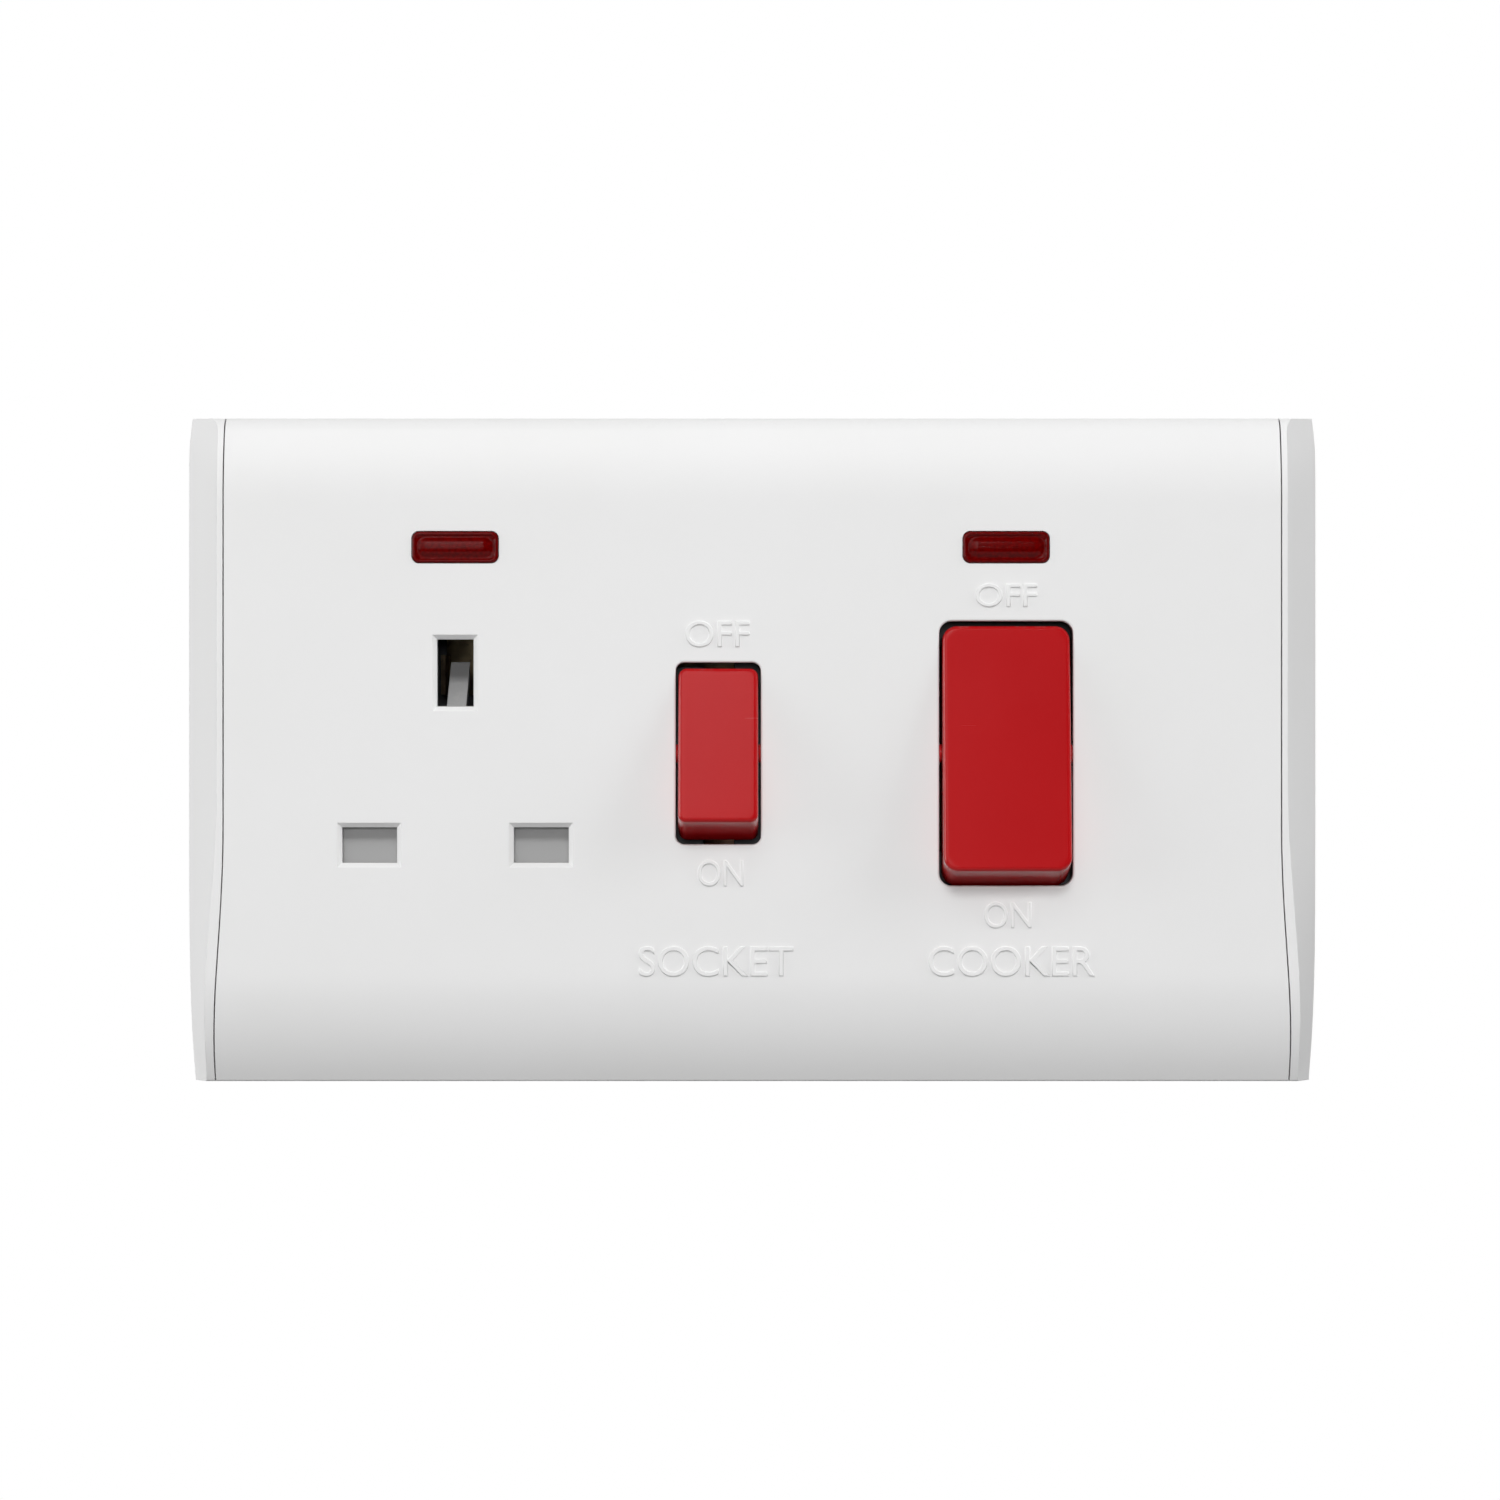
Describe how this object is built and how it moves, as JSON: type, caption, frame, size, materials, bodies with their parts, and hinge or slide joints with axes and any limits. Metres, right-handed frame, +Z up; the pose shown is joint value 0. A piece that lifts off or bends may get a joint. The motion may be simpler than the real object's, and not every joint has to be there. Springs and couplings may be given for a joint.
{
  "type": "cooker control unit",
  "caption": "White wall plate with a shuttered three-pin socket, its small red rocker switch, a large red cooker switch and red neon windows, on a moulded base with brass terminals.",
  "frame": {"origin": "middle of the plate's back, on the wall plane, halfway between the fixing holes", "axes": "+X to the right as seen from the room, +Y into the wall, +Z up"},
  "size_m": [0.1478, 0.0348, 0.086],
  "materials": {
    "white_face": "satin gloss",
    "white_frame": "satin",
    "moulded_base": "matt",
    "grey_carrier": "matt",
    "shutter_plastic": "satin",
    "spring_steel": "bright",
    "brass": "bright",
    "copper": "tinned bright",
    "plated_steel": "zinc plated",
    "red_lens": "gloss, tinted through",
    "lamp_glass": "clear",
    "resistor_body": "lacquered",
    "red_rocker": "satin gloss",
    "plunger_plastic": "satin"
  },
  "bodies": {
    "plate": {"front_plate": "white_face", "left_end_trim": "white_face", "right_end_trim": "white_face", "mounting_frame": "white_frame", "base_housing": "moulded_base", "shutter_carrier": "grey_carrier", "socket_switch_body": "grey_carrier", "cooker_switch_body": "grey_carrier", "shutter_spring": "spring_steel", "socket_live_contact": "brass", "socket_neutral_contact": "brass", "earth_contact": "brass", "live_link": "copper", "neutral_link": "copper", "supply_live_terminal": "brass", "supply_neutral_terminal": "brass", "load_live_terminal": "brass", "load_neutral_terminal": "brass", "supply_earth_terminal": "brass", "load_earth_terminal": "brass", "terminal_screws": "plated_steel", "mechanism_screws": "plated_steel", "base_screws": "plated_steel", "socket_neon_lens": "red_lens", "cooker_neon_lens": "red_lens", "socket_neon_lamp": "lamp_glass", "cooker_neon_lamp": "lamp_glass", "socket_neon_resistor": "resistor_body", "cooker_neon_resistor": "resistor_body"},
    "socket_switch_rocker": {"socket_rocker": "red_rocker", "socket_plunger": "plunger_plastic", "socket_plunger_spring": "spring_steel"},
    "cooker_switch_rocker": {"cooker_rocker": "red_rocker", "cooker_plungers": "plunger_plastic", "cooker_plunger_springs": "spring_steel"},
    "socket_contact_bar": {"socket_moving_contact": "copper"},
    "cooker_live_contact_bar": {"cooker_live_moving_contact": "copper"},
    "cooker_neutral_contact_bar": {"cooker_neutral_moving_contact": "copper"},
    "shutter_slide": {"shutter": "shutter_plastic"}
  },
  "joints": [
    {"name": "socket_rocker_tilt", "type": "hinge", "parent": "plate", "child": "socket_switch_rocker", "pos_m": [-0.0044, -0.0072, -0.00045], "axis": [1, 0, 0], "range_deg": [0, 28]},
    {"name": "cooker_rocker_tilt", "type": "hinge", "parent": "plate", "child": "cooker_switch_rocker", "pos_m": [0.0328, -0.0072, -0.00045], "axis": [1, 0, 0], "range_deg": [0, 18]},
    {"name": "socket_contact_tip", "type": "hinge", "parent": "plate", "child": "socket_contact_bar", "pos_m": [-0.0044, 0.0059, -0.00045], "axis": [1, 0, 0], "range_deg": [-16, 0]},
    {"name": "cooker_live_contact_tip", "type": "hinge", "parent": "plate", "child": "cooker_live_contact_bar", "pos_m": [0.0272, 0.0101, -0.00045], "axis": [1, 0, 0], "range_deg": [-16, 0]},
    {"name": "cooker_neutral_contact_tip", "type": "hinge", "parent": "plate", "child": "cooker_neutral_contact_bar", "pos_m": [0.0384, 0.0101, -0.00045], "axis": [1, 0, 0], "range_deg": [-16, 0]},
    {"name": "shutter_drop", "type": "slide", "parent": "plate", "child": "shutter_slide", "axis": [0, 0, -1], "range_m": [0, 0.0057], "stiffness_N_per_m": 120, "springref_m": -0.003, "deforming": ["shutter_spring"]}
  ],
  "couplings": [
    {"joint": "socket_contact_tip", "follows": "socket_rocker_tilt", "ratio": -0.57143},
    {"joint": "cooker_live_contact_tip", "follows": "cooker_rocker_tilt", "ratio": -0.88889},
    {"joint": "cooker_neutral_contact_tip", "follows": "cooker_rocker_tilt", "ratio": -0.88889}
  ]
}
